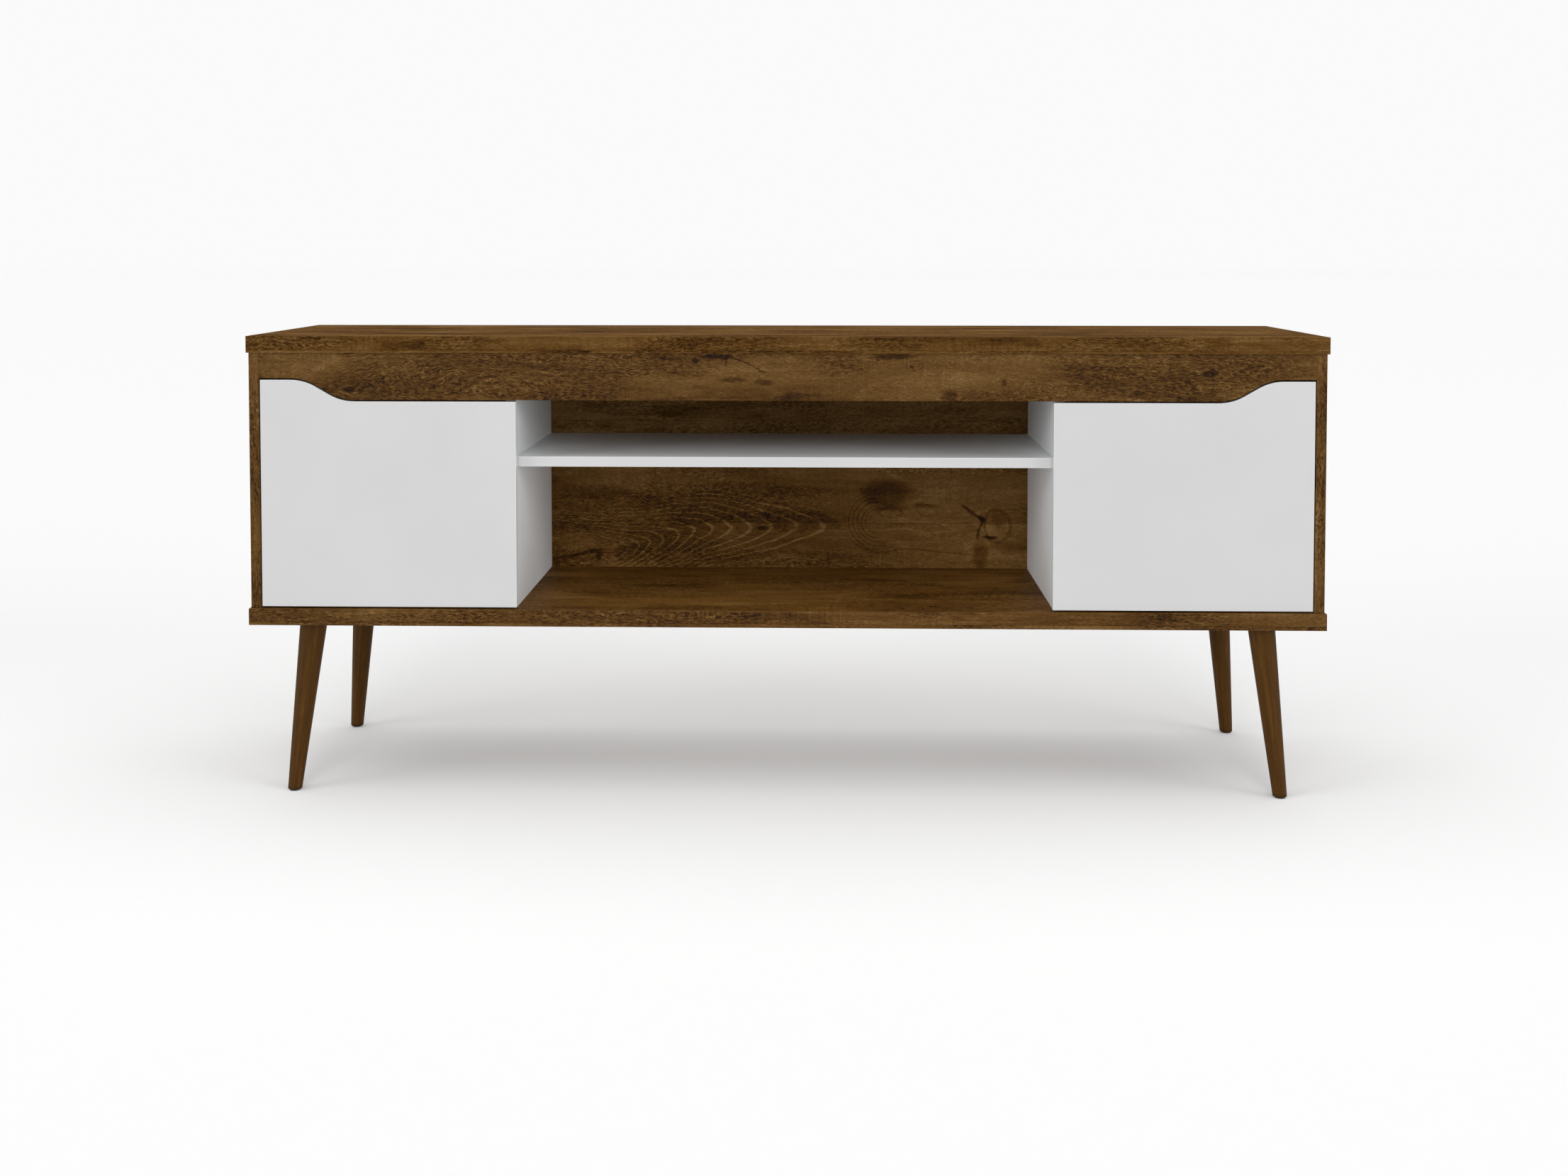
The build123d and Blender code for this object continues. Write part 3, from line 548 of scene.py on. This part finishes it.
# How strong the growth lines and the soft blotches are on the boards and on the thin backs.
BOARD_LINES, BOARD_MOTTLE = 0.1, 0.8
BACK_LINES, BACK_MOTTLE = 0.12, 0.75
BACK_GAIN = 1.1              # the backs' print is a little lighter, because the bay is dim
BARE_FIBRE = ((0.3, colour(104, 76, 48)), (0.7, colour(146, 112, 76)))


def wood_print(name, grain, seed, mottle=BOARD_MOTTLE, gain=0.77, shine=0.1, painted_top_light=1.0,
               figure=no_figure):
    """Laminated board with the rustic print, its grain along x or z.

    gain is how light the print is, and the gain for upward faces is how much lighter they are
    painted, as painted light from above.
    """
    g = Graph(name)
    tone, relief = print_tone(g, along_grain(g, grain), seed, BOARD_LINES, mottle, figure)
    base = g.ramp(tone, print_stops(gain))
    # painted light: upward faces get a lighter copy of the print, as if lit from above
    if painted_top_light != 1.0:
        upward_painted_light = g.rise(g.split(g.normal)[2], 0.7, 0.95)
        base = g.mix(upward_painted_light, base, g.ramp(tone, print_stops(gain * painted_top_light)))
    # painted highlight: a faint lighter line painted along the eased edges
    base = g.mix(g.math("MULTIPLY", g.edge(), 0.2), base, colour(*PAINTED_EDGE_HIGHLIGHT))
    rough = g.math("MULTIPLY_ADD", relief, -0.12, 0.62)
    g.bump(relief, RELIEF)
    return g.finish(base, rough, specular=shine)


def back_print(name, seed, figure=no_figure):
    """Thin back: the print on its front face and bare pressed fibre behind."""
    g = Graph(name)
    tone, relief = print_tone(g, along_grain(g, "x"), seed, BACK_LINES, BACK_MOTTLE, figure)
    printed = g.ramp(tone, print_stops(BACK_GAIN))
    fibre = g.noise(g.place, (700, 700, 700), 4.0, 0.7)
    cloud = g.noise(g.place, (14, 14, 14), 3.0)
    shade = g.math("MULTIPLY_ADD", cloud, 0.5, g.math("MULTIPLY", fibre, 0.5))
    bare = g.ramp(shade, BARE_FIBRE)
    facing = g.rise(g.split(g.normal)[1], 0.4, 0.6)
    g.bump(g.math("ADD", relief, fibre), RELIEF)
    rough = g.rise(facing, 0, 1, 0.6, 0.85)
    return g.finish(g.mix(facing, printed, bare), rough, specular=0.1)


# ---- the other finishes -------------------------------------------------------------
# Depths of relief: orange peel, drawn metal, coated metal, moulded plastic and bare wood.
PEEL, DRAWN, COATED, MOULDED, BARE = 0.00003, 0.00004, 0.00005, 0.00004, 0.0001
DOOR_WHITE = 224             # display values of the white faces
# painted light: the shelf and dividers are painted lighter than the doors, standing for light in
# the dim bay
BOARD_WHITE_PAINTED_LIGHT = 240
# painted shade: faces towards the front are painted greyer than the other faces of the same white
FRONT_WHITE_PAINTED_SHADE = 193            # the faces towards the front are greyer, as in the photograph
# painted highlight: the white that the eased edges are painted towards
PAINTED_HIGHLIGHT_WHITE = 246


def white_lacquer(name, level):
    """Satin white lacquer with a faint orange peel, a painted highlight on its eased edges and
    painted shade on its faces towards the front.
    """
    g = Graph(name)
    peel = g.noise(g.place, (420, 420, 420), 2.0)
    cloud = g.noise(g.place, (5, 5, 5), 3.0)
    # painted shade: faces towards the front get a greyer copy of the white
    facing = g.rise(g.split(g.normal)[1], -0.95, -0.7)
    front = g.ramp(cloud, ((0.35, grey(FRONT_WHITE_PAINTED_SHADE - 2)), (0.65, grey(FRONT_WHITE_PAINTED_SHADE + 1))))
    faces = g.ramp(cloud, ((0.35, colour(level - 4, level - 2, level - 1)),
                           (0.65, colour(level - 1, level + 1, level + 2))))
    base = g.mix(facing, front, faces)
    # painted highlight: the eased edges are painted lighter
    base = g.mix(g.math("MULTIPLY", g.edge(), 0.6), base, grey(PAINTED_HIGHLIGHT_WHITE))
    rough = g.math("MULTIPLY_ADD", cloud, 0.08, 0.34)
    g.bump(peel, PEEL)
    return g.finish(base, rough, specular=0.4)


LEG_STOPS = (
    (0.15, colour(50, 29, 3)),
    (0.45, colour(69, 43, 7)),
    (0.62, colour(78, 50, 11)),
    (0.85, colour(94, 65, 24)),
)
LEG_RADII = 0.0302           # a leg's top and foot radius together, in its box's width
LEG_SHINE = 0.09
FOOT_DARK_START, FOOT_DARK_FULL = 0.006, 0.001   # heights over which the foot of a leg darkens
FOOT_DARK_COLOUR = (34, 20, 8)


def leg_wood(name, node):
    """Stained solid wood, with the grain running down one slanting leg."""
    low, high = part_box(node)
    tall = high[2] - low[2]
    way_x = 1 if low[0] + high[0] > 0 else -1
    way_y = 1 if low[1] + high[1] > 0 else -1
    lean_x = -way_x * (high[0] - low[0] - LEG_RADII) / tall
    lean_y = -way_y * (high[1] - low[1] - LEG_RADII) / tall
    g = Graph(name)
    x, y, z = g.split(g.place)
    x = g.math("MULTIPLY_ADD", z, -lean_x, x)
    y = g.math("MULTIPLY_ADD", z, -lean_y, y)
    straight = g.join(x, y, z)
    bands = g.noise(straight, (210, 210, 3.0), 4.0, 0.65)
    pores = g.noise(straight, (1100, 1100, 42), 3.0, 0.6)
    cloud = g.noise(straight, (20, 20, 7), 2.0, offset=(1, 4, 2))
    tone = add_up(g, 0.5, (bands, 0.5, 1.0), (pores, 0.5, 0.6), (cloud, 0.5, 0.3))
    # darker towards the foot of the leg
    darker_foot = g.rise(z, low[2] + FOOT_DARK_START, low[2] + FOOT_DARK_FULL)
    base = g.mix(g.math("MULTIPLY", darker_foot, 0.55), g.ramp(tone, LEG_STOPS), colour(*FOOT_DARK_COLOUR))
    g.bump(pores, RELIEF)
    return g.finish(base, g.math("MULTIPLY_ADD", pores, 0.12, 0.46), specular=LEG_SHINE)


PLATE_METAL = 0.7            # below 1, so that plate isn't black where the studio is dim


def plated_steel(name):
    """Zinc and nickel plate with drawn lines and dull patches."""
    g = Graph(name)
    lines = g.noise(g.place, (900, 900, 60), 3.0)
    patches = g.noise(g.place, (90, 90, 90), 3.0)
    base = g.ramp(patches, ((0.3, grey(206)), (0.7, grey(232))))
    base = g.mix(g.math("MULTIPLY", lines, 0.25), base, colour(206, 210, 220))
    g.bump(lines, DRAWN)
    rough = g.math("MULTIPLY_ADD", patches, 0.16, 0.36)
    return g.finish(base, rough, metallic=PLATE_METAL)


def black_steel(name):
    """Black coated steel with a fine grain."""
    g = Graph(name)
    grain = g.noise(g.place, (1500, 1500, 1500), 2.0)
    patches = g.noise(g.place, (60, 60, 60), 3.0)
    base = g.ramp(patches, ((0.3, grey(24)), (0.7, grey(40))))
    g.bump(grain, COATED)
    return g.finish(base, g.math("MULTIPLY_ADD", grain, 0.2, 0.38))


def moulded(name, dark, light, rough):
    """Plain moulded plastic or rubber with a fine texture."""
    g = Graph(name)
    grain = g.noise(g.place, (2200, 2200, 2200), 2.0)
    patches = g.noise(g.place, (150, 150, 150), 2.0)
    g.bump(grain, MOULDED)
    return g.finish(g.ramp(patches, ((0.3, dark), (0.7, light))), rough)


def bare_beech(name):
    """Plain light dowel wood."""
    g = Graph(name)
    grain = g.noise(g.place, (300, 300, 60), 3.0)
    base = g.ramp(grain, ((0.3, colour(182, 140, 94)), (0.7, colour(212, 172, 124))))
    g.bump(grain, BARE)
    return g.finish(base, 0.7)


# ---- finishes on the pieces ---------------------------------------------------------
def dress(material, *names):
    """Puts one material on every slot of some CAD nodes."""
    for name in names:
        mesh = nodes[name].data
        mesh.materials.clear()
        mesh.materials.append(material)


# the upward faces of the top and bottom panels are painted lighter, as painted light from above
dress(wood_print("print_top", "x", 8, mottle=1.0, painted_top_light=1.95, shine=0.06), "top_panel")
dress(wood_print("print_bottom", "x", 2, gain=0.80, painted_top_light=1.7), "bottom_panel")
dress(wood_print("print_apron", "x", 3, gain=0.73, figure=apron_figure), "front_apron")
dress(wood_print("print_left_side", "z", 4), "left_side_panel")
dress(wood_print("print_right_side", "z", 5), "right_side_panel")
dress(back_print("print_back", 6), "left_back_panel", "right_back_panel")
dress(back_print("print_centre_back", 11, figure=back_figure), "centre_back_panel")
dress(white_lacquer("white_doors", DOOR_WHITE), "left_door", "right_door")
dress(white_lacquer("white_boards", BOARD_WHITE_PAINTED_LIGHT), "left_divider", "right_divider", "media_shelf")
for leg in ("front_left_leg", "front_right_leg", "rear_left_leg", "rear_right_leg"):
    dress(leg_wood("wood_" + leg, leg), leg)

plated = plated_steel("plated_steel")
black = black_steel("black_steel")
dress(black, "leg_plates", "leg_plate_screws", "shelf_screws")
dress(moulded("glide_plastic", grey(18), grey(30), 0.5), "leg_glides")
dress(moulded("bumper_rubber", grey(205), grey(222), 0.35), "door_bumpers")
dress(bare_beech("dowel_beech"), "wood_dowels")
dress(plated, "cam_locks", "cam_bolts", "leg_bolts", "back_panel_screws")
for side in ("left", "right"):
    for piece in ("hinge_cups", "hinge_pins", "cup_screws", "hinge_arms",
                  "hinge_plates", "hinge_screws", "arm_screws"):
        dress(plated, side + "_" + piece)

# ---- floor --------------------------------------------------------------------------
floor_mesh = bpy.data.meshes.new("floor")
WAY_ROUND = ((-1, -1), (1, -1), (1, 1), (-1, 1))
corners = [(x * FLOOR_HALF, y * FLOOR_HALF, 0) for x, y in WAY_ROUND]
floor_mesh.from_pydata(corners, [], [(0, 1, 2, 3)])
floor = bpy.data.objects.new("floor", floor_mesh)
scene.collection.objects.link(floor)
pale = Graph("pale_floor")
speckle = pale.noise(pale.place, (40, 40, 40), 2.0)
pale.shader.inputs["Emission Color"].default_value = (1, 1, 1, 1)
pale.shader.inputs["Emission Strength"].default_value = FLOOR_GLOW
pale_shade = pale.ramp(speckle, ((0, grey(250)), (1, grey(252))))
floor_mesh.materials.append(pale.finish(pale_shade, 0.9))
